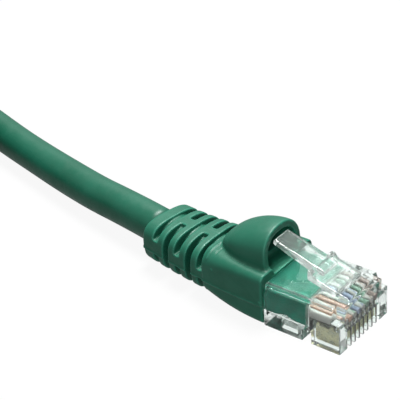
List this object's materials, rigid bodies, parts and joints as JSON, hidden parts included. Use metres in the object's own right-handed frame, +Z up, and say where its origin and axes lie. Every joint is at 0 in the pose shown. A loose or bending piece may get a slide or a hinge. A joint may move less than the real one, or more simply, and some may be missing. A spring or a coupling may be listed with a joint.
{
  "type": "ethernet patch cable",
  "caption": "Green network patch cable with clear modular plugs, sprung latches and hooded snagless boots, its cord wound into a tied coil.",
  "frame": {"origin": "bottom centre of plug A and its boot, on the surface that they rest on", "axes": "+X out of plug A's nose, +Y across plug A towards pin 8, +Z up, out of the latch side"},
  "size_m": [0.1487, 0.0735, 0.0136],
  "materials": {
    "clear_plastic": "clear moulded polycarbonate",
    "boot_green": "satin moulded vinyl",
    "jacket_green": "smooth satin extruded vinyl",
    "contact_gold": "gold-plated blades",
    "tie_strap": "woven hook-and-loop strap",
    "wire_white_orange": "glossy conductor insulation",
    "wire_orange": "glossy conductor insulation",
    "wire_white_green": "glossy conductor insulation",
    "wire_blue": "glossy conductor insulation",
    "wire_white_blue": "glossy conductor insulation",
    "wire_green": "glossy conductor insulation",
    "wire_white_brown": "glossy conductor insulation",
    "wire_brown": "glossy conductor insulation"
  },
  "bodies": {
    "cable": {"plug_body_a": "clear_plastic", "boot_a": "boot_green", "jacket_end_a": "jacket_green", "contact_1_a": "contact_gold", "conductor_1_a": "wire_white_orange", "contact_2_a": "contact_gold", "conductor_2_a": "wire_orange", "contact_3_a": "contact_gold", "conductor_3_a": "wire_white_green", "contact_4_a": "contact_gold", "conductor_4_a": "wire_blue", "contact_5_a": "contact_gold", "conductor_5_a": "wire_white_blue", "contact_6_a": "contact_gold", "conductor_6_a": "wire_green", "contact_7_a": "contact_gold", "conductor_7_a": "wire_white_brown", "contact_8_a": "contact_gold", "conductor_8_a": "wire_brown", "plug_body_b": "clear_plastic", "boot_b": "boot_green", "jacket_end_b": "jacket_green", "contact_1_b": "contact_gold", "conductor_1_b": "wire_white_orange", "contact_2_b": "contact_gold", "conductor_2_b": "wire_orange", "contact_3_b": "contact_gold", "conductor_3_b": "wire_white_green", "contact_4_b": "contact_gold", "conductor_4_b": "wire_blue", "contact_5_b": "contact_gold", "conductor_5_b": "wire_white_blue", "contact_6_b": "contact_gold", "conductor_6_b": "wire_green", "contact_7_b": "contact_gold", "conductor_7_b": "wire_white_brown", "contact_8_b": "contact_gold", "conductor_8_b": "wire_brown", "cord_run": "jacket_green", "cord_coil": "jacket_green", "cord_tail": "jacket_green", "coil_tie": "tie_strap"},
    "latch_a": {"latch_a": "clear_plastic"},
    "latch_b": {"latch_b": "clear_plastic"}
  },
  "joints": [
    {"name": "latch_hinge_a", "type": "hinge", "parent": "cable", "child": "latch_a", "pos_m": [0.01541, 0, 0.00695], "axis": [0, -1, 0], "range_deg": [0, 12], "stiffness_Nm_per_rad": 0.15},
    {"name": "latch_hinge_b", "type": "hinge", "parent": "cable", "child": "latch_b", "pos_m": [-0.12514, -0.0442, 0.00695], "axis": [-1, 0, 0], "range_deg": [0, 12], "stiffness_Nm_per_rad": 0.15}
  ]
}
